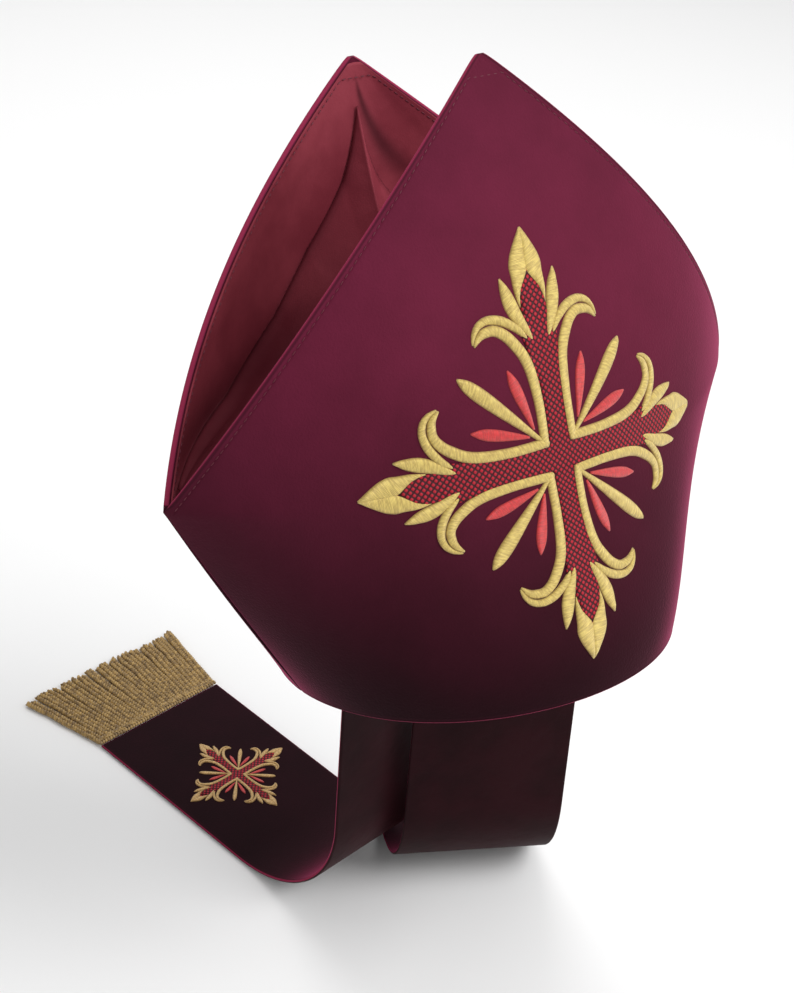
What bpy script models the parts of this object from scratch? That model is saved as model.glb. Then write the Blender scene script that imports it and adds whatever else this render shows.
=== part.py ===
"""A bishop's mitre, worn: two stiff leaves, their lining and gusset, an embroidered cross and two lappets.

Metres, +Z up. The origin is the middle of the opening for the head, level with the side seams' foot.
The front faces -Y. The leaves are modelled upright about the origin, and one empty leans them back as
they sit on a head. The lappets hang plumb from the back of the rim and turn back on what they reach.
"""

import math
from typing import NamedTuple

import bmesh
import bpy
from mathutils import Matrix, Vector
from mathutils.geometry import tessellate_polygon

# The hat as a whole
WORN_LEAN = math.radians(10.0)
CLEARANCE = 0.0003
LEAF_WALL = 0.0026
LINING_WALL = 0.0012
LAYER_GAP = 0.0011
GUSSET_WALL = 0.0014

# The rim round the head, and the side corners where the leaves part
RIM_HALF_WIDTH = 0.096
RIM_HALF_DEPTH = 0.0969
RIM_SIDE_DROP = 0.0039
RIM_FRONT_RISE = 0.0066
CORNER_HALF_WIDTH = 0.1558
CORNER_HEIGHT = 0.1049
SEAM_BOW = 0.0013

# Each leaf's own sizes: its peak, how far its middle swells, and how far its edges bow
FRONT_PEAK_HEIGHT = 0.2768
FRONT_PEAK_DEPTH = 0.0169
FRONT_SWELL = 0.0160
FRONT_LOW_SWELL = -0.0109
FRONT_BOW_OUT = 0.0151
FRONT_BOW_DEEP = 0.0227
BACK_PEAK_HEIGHT = 0.2616
BACK_PEAK_DEPTH = 0.0863
BACK_BOW_OUT = 0.0132
BACK_BOW_DEEP = 0.0118
TIP_HALF_WIDTH = 0.0045

# The lining stops this far inside a leaf's edge, and the gusset starts this far below a peak
EDGE_TURN = 0.006
LINING_FOOT = 0.010
CREASE_BELOW_PEAK = 0.043
CREASE_SWEEP = 1.15
CREASE_END_SHARE = 0.93
GUSSET_VALLEY = 0.142
GUSSET_END_VALLEY = 0.109
FOLD_DEPTH = 0.003
FOLD_COUNT = 3

# The embroidered cross on the front leaf, from its middle to an arm's tip, and its middle's height
CROSS_ARM = 0.0946
CROSS_HEIGHT = 0.1143
CROSS_DROOP = 0.0042
GOLD_RELIEF = 0.0013
RED_RELIEF = 0.0008
FACET = 0.019

# The lappets, their fringes and their small crosses
LAPPET_WALL = 0.0022
LAPPET_SEWN = 0.012
LAPPET_TOP_WIDTH = 0.0915
LAPPET_END_WIDTH = 0.1004
LAPPET_LENGTH = 0.4625
LAPPET_SETTLES = 0.070
LEFT_BEND_RADIUS = 0.0842
RIGHT_BEND_RADIUS = 0.076
LAPPET_DROP = 0.1775
LAPPET_CROSS_ARM = 0.0396
LAPPET_CROSS_FROM_END = 0.0824
LAPPET_GOLD_RELIEF = 0.0009
LAPPET_RED_RELIEF = 0.0006
FRINGE_LENGTH = 0.0647
FRINGE_HEADER = 0.0065
FRINGE_WALL = 0.0030
FRINGE_SPREAD = 0.012
LOCK_COUNT = 14
LOCK_GAP = 0.0009
LOCK_SWAY = 0.0012


class Leaf(NamedTuple):
    """One stiff leaf. Depths are measured from the plane of the side seams, outwards."""

    side: int
    peak_height: float
    peak_depth: float
    swell: float
    swell_skew: float
    low_swell: float
    roundness: float
    edge_bow_out: float
    edge_bow_deep: float
    rim_rise: float


FRONT = Leaf(
    side=-1,
    peak_height=FRONT_PEAK_HEIGHT,
    peak_depth=FRONT_PEAK_DEPTH,
    swell=FRONT_SWELL,
    swell_skew=0.59,
    low_swell=FRONT_LOW_SWELL,
    roundness=0.83,
    edge_bow_out=FRONT_BOW_OUT,
    edge_bow_deep=FRONT_BOW_DEEP,
    rim_rise=RIM_FRONT_RISE,
)
BACK = Leaf(
    side=1,
    peak_height=BACK_PEAK_HEIGHT,
    peak_depth=BACK_PEAK_DEPTH,
    swell=0.0,
    swell_skew=0.0,
    low_swell=0.0,
    roundness=1.0,
    edge_bow_out=BACK_BOW_OUT,
    edge_bow_deep=BACK_BOW_DEEP,
    rim_rise=-RIM_FRONT_RISE,
)


class Lappet(NamedTuple):
    """One lappet: its seat as a share of the back rim, its turn about +Z and what lies under its top."""

    name: str
    seat_share: float
    turn: float
    bend_radius: float
    layers_under: int


LAPPETS = (
    Lappet("left", 0.206, math.radians(11.3), LEFT_BEND_RADIUS, 1),
    Lappet("right", 0.545, math.radians(-25.0), RIGHT_BEND_RADIUS, 0),
)

# Half an arm of the cross, from the tip of the ray between two arms to the arm's own tip. Each row
# is one corner, as shares of the arm's length: along the arm and across it.
ALONG_ACROSS_GOLD = (
    (0.440, 0.440),
    (0.398, 0.350),
    (0.126, 0.108),
    (0.260, 0.092),
    (0.400, 0.118),
    (0.520, 0.155),
    (0.592, 0.206),
    (0.602, 0.258),
    (0.556, 0.334),
    (0.640, 0.322),
    (0.684, 0.240),
    (0.662, 0.160),
    (0.612, 0.100),
    (0.700, 0.145),
    (0.828, 0.148),
    (0.768, 0.080),
    (0.912, 0.078),
    (1.000, 0.000),
)
ALONG_ACROSS_RED = (
    (0.062, 0.062),
    (0.300, 0.059),
    (0.420, 0.074),
    (0.525, 0.098),
    (0.548, 0.050),
    (0.715, 0.052),
    (0.840, 0.000),
)
# One red ray beside the gold one: along its own middle line, and half its width there
RAY_ALONG_HALF = ((0.0, 0.004), (0.45, 0.025), (0.85, 0.023), (1.0, 0.0))
RAY_FOOT = (0.160, 0.128)
RAY_TIP = (0.430, 0.205)

# Colour, roughness, metallic
FINISHES = {
    "velvet": ((0.115, 0.016, 0.040), 0.85, 0.0),
    "satin": ((0.200, 0.036, 0.052), 0.45, 0.0),
    "gold_thread": ((0.62, 0.44, 0.12), 0.45, 0.2),
    "red_thread": ((0.42, 0.012, 0.026), 0.5, 0.0),
    "coral_thread": ((0.68, 0.055, 0.075), 0.5, 0.0),
    "fringe_gold": ((0.45, 0.30, 0.10), 0.5, 0.2),
}


def mix(a, b, share):
    return a + (b - a) * share


def hump(share):
    """Nought at 0 and 1, and one half way."""
    return 4 * share * (1 - share)


def skewed_hump(share, skew):
    return hump(share) * (1 + skew * (1 - 2 * share))


def smooth_step(share):
    share = min(max(share, 0.0), 1.0)
    return share * share * (3 - 2 * share)


def clear_scene():
    for thing in list(bpy.data.objects):
        bpy.data.objects.remove(thing, do_unlink=True)


def material(name):
    made = bpy.data.materials.get(name)
    if made:
        return made
    colour, roughness, metallic = FINISHES[name]
    made = bpy.data.materials.new(name)
    made.use_nodes = True
    shader = made.node_tree.nodes["Principled BSDF"]
    shader.inputs["Base Color"].default_value = (*colour, 1.0)
    shader.inputs["Roughness"].default_value = roughness
    shader.inputs["Metallic"].default_value = metallic
    return made


def add_object(name, mesh, finish, parent=None):
    mesh.materials.append(material(finish))
    mesh.shade_smooth()
    mesh.set_sharp_from_angle(angle=math.radians(40))
    thing = bpy.data.objects.new(name, mesh)
    bpy.context.scene.collection.objects.link(thing)
    thing.parent = parent
    return thing


# The leaves


def middle_depth(leaf, level):
    """How far the middle line stands out at a level: a line from rim to peak, swollen."""
    up = level / leaf.peak_height
    depth = mix(RIM_HALF_DEPTH, leaf.peak_depth, up) + leaf.swell * skewed_hump(up, leaf.swell_skew)
    low = min(level / (1.6 * CORNER_HEIGHT), 1.0)
    return depth + leaf.low_swell * math.sin(math.pi * low) ** 2


def edge_place(leaf, level):
    """Half width and depth of the leaf's edge: the side seam below the corner, a bowed arch above."""
    if level <= CORNER_HEIGHT:
        low = level / CORNER_HEIGHT
        return mix(RIM_HALF_WIDTH, CORNER_HALF_WIDTH, low) + SEAM_BOW * hump(low), 0.0
    rise = (level - CORNER_HEIGHT) / (leaf.peak_height - CORNER_HEIGHT)
    straight = CORNER_HALF_WIDTH * (1 - rise)
    half = straight + leaf.edge_bow_out * hump(rise)
    # A tip of this half width turns the point of the arch into a small round
    half = math.sqrt(half * half + TIP_HALF_WIDTH**2 * (1 - rise) * rise)
    return half, leaf.peak_depth * rise + leaf.edge_bow_deep * hump(rise)


def section_angle(leaf, level):
    """Half the angle that the level's section turns through."""
    if level >= CORNER_HEIGHT:
        half, edge = edge_place(leaf, level)
        return 2 * leaf.roundness * math.atan2(max(middle_depth(leaf, level) - edge, 1e-5), max(half, 1e-5))
    return mix(math.pi / 2, section_angle(leaf, CORNER_HEIGHT), level / CORNER_HEIGHT)


def leaf_point(leaf, level, share):
    """A point of the outer face: the level up the middle line, and the share -1 to 1 of the section."""
    half, edge = edge_place(leaf, level)
    angle = min(max(section_angle(leaf, level), 0.02), 1.88)
    turn = angle * share
    x = half * math.sin(turn) / math.sin(angle)
    reach = (math.cos(turn) - math.cos(angle)) / (1 - math.cos(angle))
    y = edge + (middle_depth(leaf, level) - edge) * reach
    down = 1 - min(level / CORNER_HEIGHT, 1.0)
    z = level + down * (leaf.rim_rise * math.cos(turn) - RIM_SIDE_DROP * math.sin(turn) ** 2)
    return Vector((x, leaf.side * y, z))


def leaf_normal(leaf, level, share):
    """The outward normal of the outer face, from neighbouring points on it."""
    step = 0.0008
    level = min(max(level, step), leaf.peak_height - 6 * step)
    across = leaf_point(leaf, level, share + 0.01) - leaf_point(leaf, level, share - 0.01)
    up = leaf_point(leaf, level + step, share) - leaf_point(leaf, level - step, share)
    normal = across.cross(up).normalized()
    return normal if normal.y * leaf.side >= 0 else -normal


def inside_leaf(leaf, level, share, depth):
    """A point this deep behind the outer face, kept on the leaf's own side of the seam."""
    point = leaf_point(leaf, level, share) - leaf_normal(leaf, level, share) * depth
    point.y = leaf.side * max(leaf.side * point.y, CLEARANCE / 2)
    return point


def section_length(leaf, level):
    """Arc from the middle line to the edge at a level."""
    steps = 10
    points = [leaf_point(leaf, level, step / steps) for step in range(steps + 1)]
    return sum((b - a).length for a, b in zip(points, points[1:]))


def shell_from_grid(name, rows, columns, outer, inner, finish, parent=None):
    """A closed wall: outer(i, j) and inner(i, j) give its two faces on one grid."""
    bm = bmesh.new()
    faces = [[[bm.verts.new(place(i, j)) for j in range(columns + 1)] for i in range(rows + 1)]
             for place in (outer, inner)]
    top, under = faces
    for i in range(rows):
        for j in range(columns):
            bm.faces.new((top[i][j], top[i][j + 1], top[i + 1][j + 1], top[i + 1][j]))
            bm.faces.new((under[i][j], under[i + 1][j], under[i + 1][j + 1], under[i][j + 1]))
    for i in range(rows):
        bm.faces.new((top[i][0], top[i + 1][0], under[i + 1][0], under[i][0]))
        bm.faces.new((top[i][columns], under[i][columns], under[i + 1][columns], top[i + 1][columns]))
    for j in range(columns):
        bm.faces.new((top[0][j], under[0][j], under[0][j + 1], top[0][j + 1]))
        bm.faces.new((top[rows][j], top[rows][j + 1], under[rows][j + 1], under[rows][j]))
    bmesh.ops.recalc_face_normals(bm, faces=bm.faces)
    mesh = bpy.data.meshes.new(name)
    bm.to_mesh(mesh)
    bm.free()
    return add_object(name, mesh, finish, parent)


LEAF_LOW_ROWS = 5
LEAF_HIGH_ROWS = 11
LEAF_COLUMNS = 22
TIP_STOP = 0.0008


def leaf_levels(leaf):
    """Levels of the leaf's rows, closer together towards the peak."""
    low = [CORNER_HEIGHT * i / LEAF_LOW_ROWS for i in range(LEAF_LOW_ROWS)]
    high = [1 - (1 - i / LEAF_HIGH_ROWS) ** 1.35 for i in range(LEAF_HIGH_ROWS + 1)]
    top = leaf.peak_height - TIP_STOP
    return low + [mix(CORNER_HEIGHT, top, share) for share in high]


def add_leaf(name, leaf, seat):
    levels = leaf_levels(leaf)

    def share(j):
        return 2 * j / LEAF_COLUMNS - 1

    shell_from_grid(
        name, len(levels) - 1, LEAF_COLUMNS,
        lambda i, j: inside_leaf(leaf, levels[i], share(j), 0.0),
        lambda i, j: inside_leaf(leaf, levels[i], share(j), LEAF_WALL),
        "velvet", seat,
    )


LINING_ROWS = 8
LINING_COLUMNS = 12
LINING_TIP_STOP = 0.012


def add_lining(name, leaf, seat):
    """The satin that faces a leaf's inner side, inside its turned edge."""
    foot = CORNER_HEIGHT + LINING_FOOT
    top = leaf.peak_height - LINING_TIP_STOP
    levels = [mix(foot, top, 1 - (1 - i / LINING_ROWS) ** 1.2) for i in range(LINING_ROWS + 1)]

    def place(i, j, depth):
        reach = 1 - EDGE_TURN / max(section_length(leaf, levels[i]), 2 * EDGE_TURN)
        return inside_leaf(leaf, levels[i], reach * (2 * j / LINING_COLUMNS - 1), depth)

    near = LEAF_WALL + LAYER_GAP
    shell_from_grid(
        name, LINING_ROWS, LINING_COLUMNS,
        lambda i, j: place(i, j, near),
        lambda i, j: place(i, j, near + LINING_WALL),
        "satin", seat,
    )


# The gusset, slung between the leaves over the head


def crease_point(leaf, along):
    """Where the gusset is sewn to a leaf's lining. along runs from -1 to 1, corner to corner."""
    crest = leaf.peak_height - CREASE_BELOW_PEAK
    level = mix(crest, CORNER_HEIGHT + LINING_FOOT, abs(along) ** CREASE_SWEEP)
    depth = LEAF_WALL + LINING_WALL + 1.5 * LAYER_GAP + GUSSET_WALL / 2
    return inside_leaf(leaf, level, CREASE_END_SHARE * along, depth)


def gusset_middle(along, across):
    """The gusset's middle layer. across runs from -1 at the back leaf to 1 at the front one."""
    behind, before = crease_point(BACK, along), crease_point(FRONT, along)
    point = behind.lerp(before, (across + 1) / 2)
    valley = mix(GUSSET_VALLEY, GUSSET_END_VALLEY, along * along)
    slack = max(mix(behind.z, before.z, 0.5) - valley, 0.0)
    point.z -= slack * (1 - across * across)
    # Folds gather near each corner and die out towards the middle and the sewn edges
    gather = smooth_step((abs(along) - 0.35) / 0.3) * smooth_step((1.02 - abs(along)) / 0.25)
    point.z += FOLD_DEPTH * gather * math.sin(FOLD_COUNT * math.pi * across) * (1 - across**4)
    return point


def gusset_normal(along, across):
    step = 0.02
    run = gusset_middle(along + step, across) - gusset_middle(along - step, across)
    over = gusset_middle(along, across + step) - gusset_middle(along, across - step)
    normal = over.cross(run).normalized()
    return normal if normal.z >= 0 else -normal


GUSSET_ROWS = 14
GUSSET_COLUMNS = 12


def add_gusset(seat):
    def place(i, j, side):
        along = 0.97 * (2 * i / GUSSET_ROWS - 1)
        across = 0.98 * (2 * j / GUSSET_COLUMNS - 1)
        return gusset_middle(along, across) + gusset_normal(along, across) * side * GUSSET_WALL / 2

    shell_from_grid(
        "gusset", GUSSET_ROWS, GUSSET_COLUMNS,
        lambda i, j: place(i, j, 1), lambda i, j: place(i, j, -1), "satin", seat,
    )


# Embroidery: flat outlines, cut to small facets and laid on a face


def whole_cross(half_arm):
    """The closed outline of a four-armed cross from half an arm, as (right, up) in arm lengths."""
    outline = []
    for quarter in range(4):
        turn = quarter * math.pi / 2
        along, across = Vector((math.sin(turn), math.cos(turn))), Vector((math.cos(turn), -math.sin(turn)))
        left = [along * a - across * c for a, c in half_arm]
        right = [along * a + across * c for a, c in reversed(half_arm[1:-1])]
        outline += left + right
    return outline


def inset(outline, distance):
    """The outline with each edge moved inwards by the distance. Corners run clockwise."""
    moved = []
    for before, here, after in zip(outline[-1:] + outline[:-1], outline, outline[1:] + outline[:1]):
        edges = (here - before).normalized(), (after - here).normalized()
        inwards = sum((Vector((edge.y, -edge.x)) for edge in edges), Vector((0, 0)))
        moved.append(here + inwards * distance / max(inwards.length_squared / 2, 0.2))
    return moved


def flat_mesh(loops, facet):
    """A flat mesh inside the first loop and outside the others, cut along a square grid."""
    corners = [corner for loop in loops for corner in loop]
    triangles = tessellate_polygon([[corner.to_3d() for corner in loop] for loop in loops])
    bm = bmesh.new()
    verts = [bm.verts.new(corner.to_3d()) for corner in corners]
    for a, b, c in triangles:
        bm.faces.new((verts[a], verts[b], verts[c]))
    reach = max(max(abs(corner.x), abs(corner.y)) for corner in corners)
    for axis in (Vector((1, 0, 0)), Vector((0, 1, 0))):
        for step in range(-int(reach / facet), int(reach / facet) + 1):
            everything = bm.verts[:] + bm.edges[:] + bm.faces[:]
            bmesh.ops.bisect_plane(
                bm, geom=everything, dist=1e-6, plane_co=axis * (step + 0.5) * facet, plane_no=axis
            )
    bmesh.ops.triangulate(bm, faces=bm.faces)
    for face in bm.faces:
        if face.normal.z < 0:
            face.normal_flip()
    return bm


def raised(name, flat, place, low, high, finish, parent=None):
    """A closed relief over a flat mesh: place(right, up, height) lays it on the face that carries it."""
    bm = bmesh.new()
    flat.verts.index_update()
    under = [bm.verts.new(place(v.co.x, v.co.y, low)) for v in flat.verts]
    top = [bm.verts.new(place(v.co.x, v.co.y, high)) for v in flat.verts]
    for face in flat.faces:
        ring = [v.index for v in face.verts]
        bm.faces.new([top[k] for k in ring])
        bm.faces.new([under[k] for k in reversed(ring)])
    for edge in flat.edges:
        if not edge.is_boundary:
            continue
        loop = edge.link_loops[0]
        a, b = loop.vert.index, loop.link_loop_next.vert.index
        bm.faces.new((top[b], top[a], under[a], under[b]))
    bmesh.ops.recalc_face_normals(bm, faces=bm.faces)
    mesh = bpy.data.meshes.new(name)
    bm.to_mesh(mesh)
    bm.free()
    flat.free()
    return add_object(name, mesh, finish, parent)


def on_front_leaf(right, up, height):
    """A place on the front leaf, from the middle of the cross: right and up over the cloth."""
    slope = (middle_depth(FRONT, CROSS_HEIGHT + 0.002) - middle_depth(FRONT, CROSS_HEIGHT - 0.002)) / 0.004
    level = CROSS_HEIGHT + up / math.hypot(1, slope) - CROSS_DROOP * (right / CROSS_ARM) ** 2
    share = right / section_length(FRONT, level)
    return leaf_point(FRONT, level, share) + leaf_normal(FRONT, level, share) * height


def red_ray(quarter, side):
    """The outline of one red ray between two arms of the cross."""
    foot, tip = Vector(RAY_FOOT), Vector(RAY_TIP)
    if side < 0:
        foot, tip = foot.yx, tip.yx
    run = tip - foot
    over = Vector((run.y, -run.x)).normalized()
    one = [foot + run * along + over * half for along, half in RAY_ALONG_HALF[:-1]]
    other = [foot + run * along - over * half for along, half in reversed(RAY_ALONG_HALF[:-1])]
    outline = one + [tip] + other
    turn = Matrix.Rotation(-quarter * math.pi / 2, 2)
    return [turn @ corner for corner in outline]


def cross_loops(arm):
    """Outlines in metres of the gold scrolls, the hole in them and the red ground in that hole."""
    gold = [corner * arm for corner in whole_cross(ALONG_ACROSS_GOLD)]
    hole = [corner * arm for corner in whole_cross(ALONG_ACROSS_RED)]
    return gold, hole, inset(hole, CLEARANCE)


def add_front_cross(seat):
    gold, hole, red = cross_loops(CROSS_ARM)
    base = 2.5 * CLEARANCE
    raised("front_cross_gold", flat_mesh([gold, hole], FACET), on_front_leaf,
           base, base + GOLD_RELIEF, "gold_thread", seat)
    raised("front_cross_red", flat_mesh([red], FACET), on_front_leaf,
           base, base + RED_RELIEF, "red_thread", seat)
    for quarter in range(4):
        for side, hand in ((1, "a"), (-1, "b")):
            outline = [corner * CROSS_ARM for corner in red_ray(quarter, side)]
            raised(f"front_ray_{quarter + 1}{hand}", flat_mesh([outline], FACET), on_front_leaf,
                   base, base + RED_RELIEF, "coral_thread", seat)


# The lappets


def worn(point):
    """A point of the upright hat where it comes when the hat is leant back."""
    return Matrix.Rotation(-WORN_LEAN, 3, "X") @ point


def floor_height():
    """The level that the turned-back lappets lie on."""
    left = LAPPETS[0]
    foot = worn(leaf_point(BACK, 0, left.seat_share)).z
    return foot - LAPPET_DROP - left.bend_radius - LAPPET_WALL / 2


def lappet_width(distance):
    return mix(LAPPET_TOP_WIDTH, LAPPET_END_WIDTH, distance / LAPPET_LENGTH)


def lappet_point(lappet, distance, right, height):
    """A point of a lappet: the distance down it from its top, right of its middle line, and the
    height above its middle layer on the embroidered side."""
    stand_off = LAYER_GAP + LAPPET_WALL / 2 + lappet.layers_under * (LAPPET_WALL + LAYER_GAP)
    share = lappet.seat_share + right / section_length(BACK, 0)
    level = max(LAPPET_SEWN - distance, 0.0)
    below = max(distance - LAPPET_SEWN, 0.0)
    outwards = worn(leaf_normal(BACK, level, share))
    sewn = worn(leaf_point(BACK, level, share)) + outwards * (stand_off + height)
    sewn.z -= below
    if below == 0.0:
        return sewn
    foot = worn(leaf_point(BACK, 0, lappet.seat_share))
    across = Vector((math.cos(lappet.turn), math.sin(lappet.turn), 0))
    backwards = Vector((-math.sin(lappet.turn), math.cos(lappet.turn), 0))
    radius = lappet.bend_radius
    drop = foot.z - floor_height() - LAPPET_WALL / 2 - radius
    bend = min(max((below - drop) / radius, 0.0), math.pi / 2)
    lying = max(below - drop - radius * math.pi / 2, 0.0)
    plumb = foot + backwards * stand_off + across * right
    plumb.z -= min(below, drop) + (radius - height) * math.sin(bend)
    plumb += backwards * (radius - (radius - height) * math.cos(bend) + lying)
    return sewn.lerp(plumb, smooth_step(below / LAPPET_SETTLES))


LAPPET_ROWS = 28
LAPPET_COLUMNS = 6


def add_lappet(lappet):
    def place(i, j, side):
        distance = LAPPET_LENGTH * i / LAPPET_ROWS
        right = lappet_width(distance) * (j / LAPPET_COLUMNS - 0.5)
        return lappet_point(lappet, distance, right, side * LAPPET_WALL / 2)

    shell_from_grid(
        f"lappet_{lappet.name}", LAPPET_ROWS, LAPPET_COLUMNS,
        lambda i, j: place(i, j, 1), lambda i, j: place(i, j, -1), "velvet",
    )


def add_lappet_cross(lappet):
    gold, hole, red = cross_loops(LAPPET_CROSS_ARM)
    middle = LAPPET_LENGTH - LAPPET_CROSS_FROM_END
    face = LAPPET_WALL / 2 + CLEARANCE

    def place(right, up, height):
        return lappet_point(lappet, middle - up, right, face + height)

    coarse = 2 * LAPPET_CROSS_ARM
    raised(f"lappet_cross_{lappet.name}_gold", flat_mesh([gold, hole], coarse), place,
           0.0, LAPPET_GOLD_RELIEF, "gold_thread")
    raised(f"lappet_cross_{lappet.name}_red", flat_mesh([red], coarse), place,
           0.0, LAPPET_RED_RELIEF, "red_thread")


def fringe_flat():
    """A flat mesh of the header and its locks: right of the middle, and down from the lappet's end."""
    half = LAPPET_END_WIDTH / 2
    pitch = 2 * half / LOCK_COUNT
    bm = bmesh.new()
    head = [bm.verts.new((-half, 0, 0))]
    foot = [bm.verts.new((-half, -FRINGE_HEADER, 0))]
    for lock in range(1, LOCK_COUNT):
        for side in (-1, 1):
            x = -half + lock * pitch + side * LOCK_GAP / 2
            head.append(bm.verts.new((x, 0, 0)))
            foot.append(bm.verts.new((x, -FRINGE_HEADER, 0)))
    head.append(bm.verts.new((half, 0, 0)))
    foot.append(bm.verts.new((half, -FRINGE_HEADER, 0)))
    for k in range(len(head) - 1):
        bm.faces.new((head[k], foot[k], foot[k + 1], head[k + 1]))
    for lock in range(LOCK_COUNT):
        above = foot[2 * lock], foot[2 * lock + 1]
        left, right = above[0].co.x, above[1].co.x
        for depth in (0.5, 1.0):
            splay = 1 + FRINGE_SPREAD / half * depth * depth
            sway = LOCK_SWAY * math.sin(1.7 * lock + 3.1 * depth) * depth
            down = mix(FRINGE_HEADER, FRINGE_LENGTH, depth)
            below = tuple(bm.verts.new((x * splay + sway, -down, 0)) for x in (left, right))
            bm.faces.new((above[0], below[0], below[1], above[1]))
            above = below
    bm.normal_update()
    return bm


def add_fringe(lappet):
    def place(right, up, height):
        """Beyond the header the locks droop until they lie on what carries them."""
        past = max(-up - FRINGE_HEADER, 0.0)
        droop = (FRINGE_WALL - LAPPET_WALL) / 2 * (1 - smooth_step(past / 0.02))
        distance = LAPPET_LENGTH + CLEARANCE - up
        return lappet_point(lappet, distance, right, height - LAPPET_WALL / 2 + FRINGE_WALL / 2 - droop)

    raised(f"fringe_{lappet.name}", fringe_flat(), place,
           -FRINGE_WALL / 2, FRINGE_WALL / 2, "fringe_gold")


def main():
    clear_scene()
    seat = bpy.data.objects.new("head_seat", None)
    bpy.context.scene.collection.objects.link(seat)
    seat.rotation_euler.x = -WORN_LEAN
    add_leaf("front_leaf", FRONT, seat)
    add_leaf("back_leaf", BACK, seat)
    add_lining("front_lining", FRONT, seat)
    add_lining("back_lining", BACK, seat)
    add_gusset(seat)
    add_front_cross(seat)
    for lappet in LAPPETS:
        add_lappet(lappet)
        add_lappet_cross(lappet)
        add_fringe(lappet)


main()
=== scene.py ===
# %% [markdown]
# # A bishop's mitre in velvet, satin and gold thread
#
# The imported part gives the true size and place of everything: two stiff leaves, their lining, the
# gusset slung between them, an embroidered cross and two fringed lappets. This lesson puts cloth on
# it. Each cell makes one thing, and prints what it made.
#
# The leaves are a surface with a formula, so the same few named sizes that drive the solid drive
# the fine mesh here. That keeps the looks inside the part, and lets stitches and embroidery be laid
# on the cloth in its own measure: so far right, so far up, so high above the pile.

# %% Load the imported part
import math
from collections import namedtuple

import bmesh
import bpy
import numpy as np
from mathutils import Matrix, Vector
from mathutils.geometry import tessellate_polygon


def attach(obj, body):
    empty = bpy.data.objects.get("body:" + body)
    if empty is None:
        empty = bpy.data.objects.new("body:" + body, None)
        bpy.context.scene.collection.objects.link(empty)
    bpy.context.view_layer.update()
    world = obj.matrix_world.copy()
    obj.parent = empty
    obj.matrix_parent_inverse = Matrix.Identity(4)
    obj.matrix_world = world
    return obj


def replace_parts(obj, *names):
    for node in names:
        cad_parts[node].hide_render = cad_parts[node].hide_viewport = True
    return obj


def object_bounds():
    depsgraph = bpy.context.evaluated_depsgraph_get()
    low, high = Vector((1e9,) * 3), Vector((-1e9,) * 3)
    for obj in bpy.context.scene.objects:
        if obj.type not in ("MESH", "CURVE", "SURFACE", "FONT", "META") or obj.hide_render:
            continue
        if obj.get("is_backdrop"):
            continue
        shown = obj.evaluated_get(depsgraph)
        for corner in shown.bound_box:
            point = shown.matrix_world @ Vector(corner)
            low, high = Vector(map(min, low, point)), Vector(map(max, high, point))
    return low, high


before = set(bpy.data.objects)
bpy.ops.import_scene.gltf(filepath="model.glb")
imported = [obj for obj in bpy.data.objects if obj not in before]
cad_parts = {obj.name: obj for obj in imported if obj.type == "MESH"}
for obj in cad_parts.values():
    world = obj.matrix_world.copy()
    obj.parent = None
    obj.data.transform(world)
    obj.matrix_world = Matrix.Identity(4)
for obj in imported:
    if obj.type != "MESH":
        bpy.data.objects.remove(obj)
cad_low, cad_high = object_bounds()
print("nodes in the packed part:", len(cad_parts))

# %% [markdown]
# ## Sizes
#
# Everything is in metres. The first group is the solid part's own. The second is about cloth and
# thread: how thick a fold is, how far in a row of stitches runs, how long one stitch is.

# %% Sizes of the part
WORN_LEAN = math.radians(10.0)
LEAF_WALL = 0.0026
RIM_HALF_WIDTH = 0.096
RIM_HALF_DEPTH = 0.0969
RIM_SIDE_DROP = 0.0039
RIM_FRONT_RISE = 0.0066
CORNER_HALF_WIDTH = 0.1558
CORNER_HEIGHT = 0.1049
SEAM_BOW = 0.0013
TIP_ROUND = 0.030
GUSSET_VALLEY = 0.142
GUSSET_END_VALLEY = 0.109
CROSS_ARM = 0.0946
CROSS_HEIGHT = 0.1143
CROSS_DROOP = 0.0042
CROSS_SHIFT = 0.022
ARM_BOW = 0.074
LAPPET_WALL = 0.0022
LAPPET_SEWN = 0.012
LAPPET_TOP_WIDTH = 0.0915
LAPPET_END_WIDTH = 0.1004
LAPPET_LENGTH = 0.4625
LAPPET_SETTLES = 0.070
LAPPET_DROP = 0.1775
LAPPET_CROSS_ARM = 0.0396
LAPPET_CROSS_FROM_END = 0.0824
LAYER_GAP = 0.0011
FRINGE_LENGTH = 0.0647
FRINGE_HEADER = 0.0065

Leaf = namedtuple(
    "Leaf",
    "side peak_height peak_depth swell swell_skew low_swell roundness bow_out bow_deep rim_rise",
)
FRONT = Leaf(-1, 0.2768, 0.0169, 0.0160, 0.59, -0.0109, 0.83, 0.0151, 0.0227, RIM_FRONT_RISE)
BACK = Leaf(1, 0.2616, 0.0863, 0.0, 0.0, 0.0, 1.0, 0.0132, 0.0118, -RIM_FRONT_RISE)

Lappet = namedtuple("Lappet", "name seat_share turn bend_radius layers_under")
LEFT = Lappet("left", 0.206, math.radians(11.3), 0.0842, 1)
RIGHT = Lappet("right", 0.545, math.radians(-25.0), 0.076, 0)

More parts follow.
